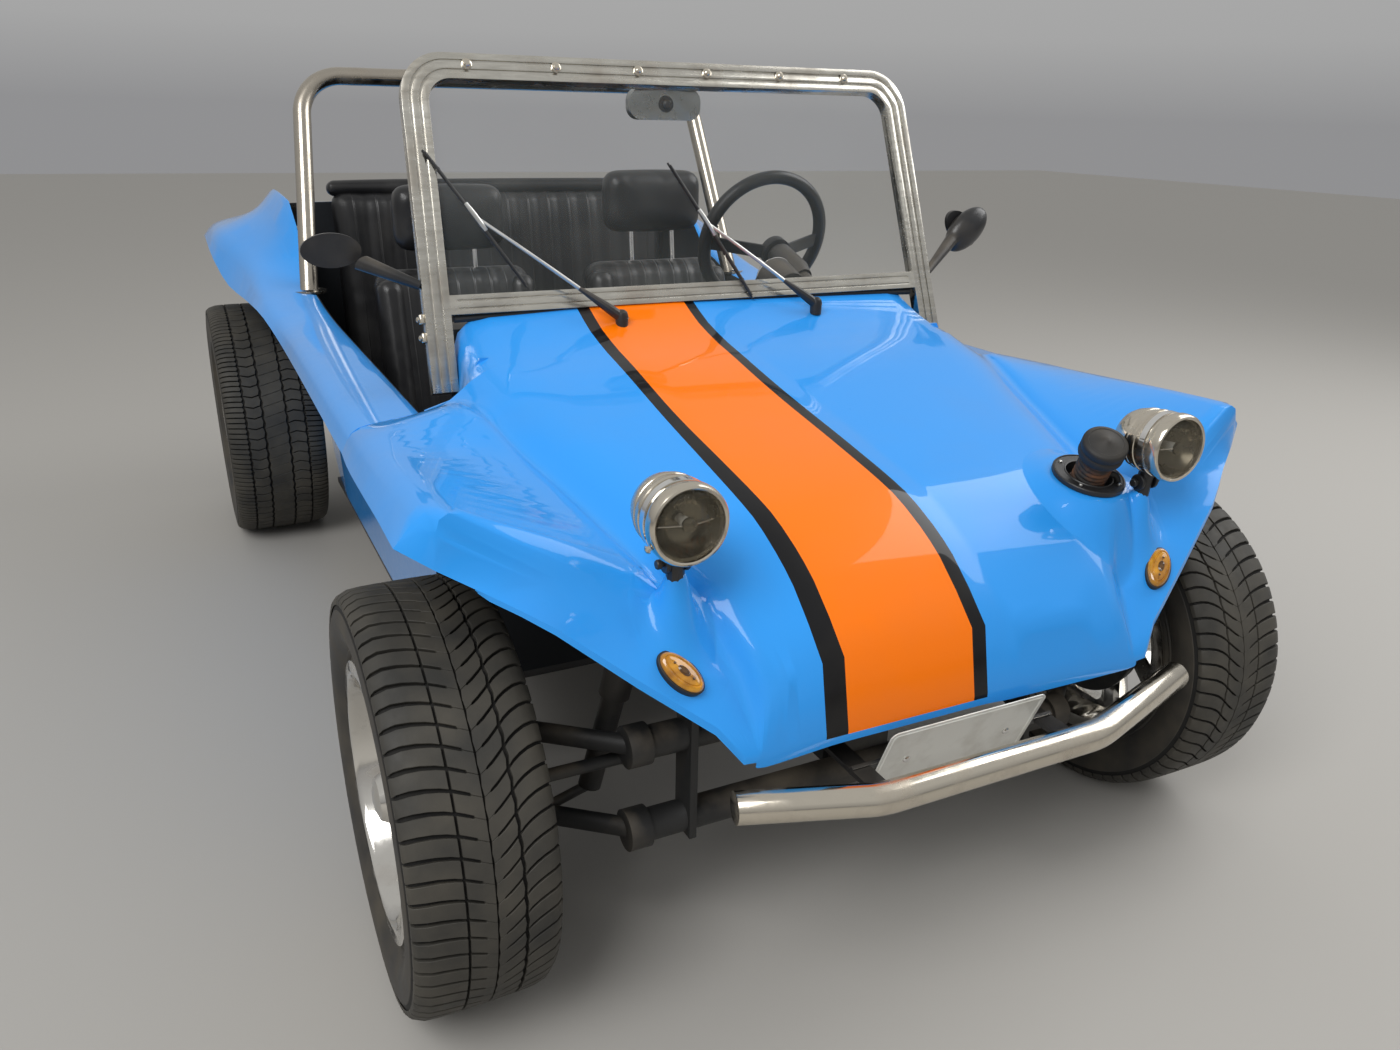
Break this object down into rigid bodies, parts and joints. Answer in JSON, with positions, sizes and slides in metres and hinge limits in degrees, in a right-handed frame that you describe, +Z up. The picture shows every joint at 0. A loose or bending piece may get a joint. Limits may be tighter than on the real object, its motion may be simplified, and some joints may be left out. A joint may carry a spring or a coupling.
{
  "type": "dune buggy",
  "caption": "Open four-seat beach buggy with a moulded body, upright windscreen, chrome hoop, wide rear tyres and rear engine; wheels roll and steer.",
  "frame": {"origin": "on the ground under the middle of the car's overall box", "axes": "+X to the car's left, -Y to the front, +Z up"},
  "size_m": [1.666, 3.1, 1.338],
  "materials": {
    "body_paint": "gloss",
    "frame_aluminium": "worn satin",
    "screen_glass": "clear",
    "chrome": "polished",
    "lamp_glass": "fluted",
    "amber": "gloss",
    "red_lens": "gloss",
    "plate_white": "gloss",
    "filler_rubber": "dull",
    "black_plastic": "satin",
    "black_vinyl": "satin",
    "black_steel": "satin",
    "mirror_glass": "polished",
    "engine_metal": "dull",
    "tyre_rubber": "matt"
  },
  "bodies": {
    "chassis": {"body_front": "body_paint", "body_side_left": "body_paint", "body_side_right": "body_paint", "rear_deck": "body_paint", "windscreen_frame": "frame_aluminium", "windscreen_glass": "screen_glass", "roll_bar": "chrome", "front_bumper": "chrome", "front_plate": "plate_white", "headlamps": "chrome", "headlamp_lenses": "lamp_glass", "indicators": "amber", "tail_lamps": "red_lens", "fuel_filler": "filler_rubber", "fuel_tank": "black_steel", "outer_mirrors": "black_plastic", "inner_mirror": "black_plastic", "wipers": "black_plastic", "seat_left": "black_vinyl", "seat_right": "black_vinyl", "rear_bench": "black_vinyl", "steering_column": "black_steel", "dashboard": "black_plastic", "hand_controls": "black_steel", "pedals": "black_steel", "floor_pan": "black_steel", "front_beam": "black_steel", "front_dampers": "black_steel", "rear_axle": "black_steel", "transaxle": "engine_metal", "engine": "engine_metal", "exhaust": "black_steel"},
    "knuckle_left": {"knuckle_left": "black_steel"},
    "knuckle_right": {"knuckle_right": "black_steel"},
    "track_rods": {"track_rods": "black_steel"},
    "steering_wheel": {"steering_wheel": "black_plastic"},
    "wheel_front_left": {"rim_front_left": "chrome", "tyre_front_left": "tyre_rubber"},
    "wheel_front_right": {"rim_front_right": "chrome", "tyre_front_right": "tyre_rubber"},
    "wheel_rear_left": {"rim_rear_left": "chrome", "tyre_rear_left": "tyre_rubber"},
    "wheel_rear_right": {"rim_rear_right": "chrome", "tyre_rear_right": "tyre_rubber"}
  },
  "joints": [
    {"name": "steer_left", "type": "hinge", "parent": "chassis", "child": "knuckle_left", "pos_m": [0.575, -1.1, 0.31], "axis": [0, 0, 1], "range_deg": [-28, 28]},
    {"name": "steer_right", "type": "hinge", "parent": "chassis", "child": "knuckle_right", "pos_m": [-0.575, -1.1, 0.31], "axis": [0, 0, 1], "range_deg": [-28, 28]},
    {"name": "track_rod_slide", "type": "slide", "parent": "chassis", "child": "track_rods", "axis": [1, 0, 0], "range_m": [-0.0441, 0.0441]},
    {"name": "steering_wheel_turn", "type": "hinge", "parent": "chassis", "child": "steering_wheel", "pos_m": [0.335, -0.23, 0.974], "axis": [0, 0.9478, 0.319], "range_deg": [-393, 393]},
    {"name": "front_left_wheel_spin", "type": "hinge", "parent": "knuckle_left", "child": "wheel_front_left", "pos_m": [0.681, -1.1, 0.31], "axis": [1, 0, 0], "continuous": true},
    {"name": "front_right_wheel_spin", "type": "hinge", "parent": "knuckle_right", "child": "wheel_front_right", "pos_m": [-0.681, -1.1, 0.31], "axis": [1, 0, 0], "continuous": true},
    {"name": "rear_left_wheel_spin", "type": "hinge", "parent": "chassis", "child": "wheel_rear_left", "pos_m": [0.703, 1, 0.343], "axis": [1, 0, 0], "continuous": true},
    {"name": "rear_right_wheel_spin", "type": "hinge", "parent": "chassis", "child": "wheel_rear_right", "pos_m": [-0.703, 1, 0.343], "axis": [1, 0, 0], "continuous": true}
  ],
  "couplings": [
    {"joint": "steer_right", "follows": "steer_left", "ratio": 1},
    {"joint": "track_rod_slide", "follows": "steer_left", "m_per_rad": 0.09},
    {"joint": "steering_wheel_turn", "follows": "steer_left", "ratio": 14}
  ]
}
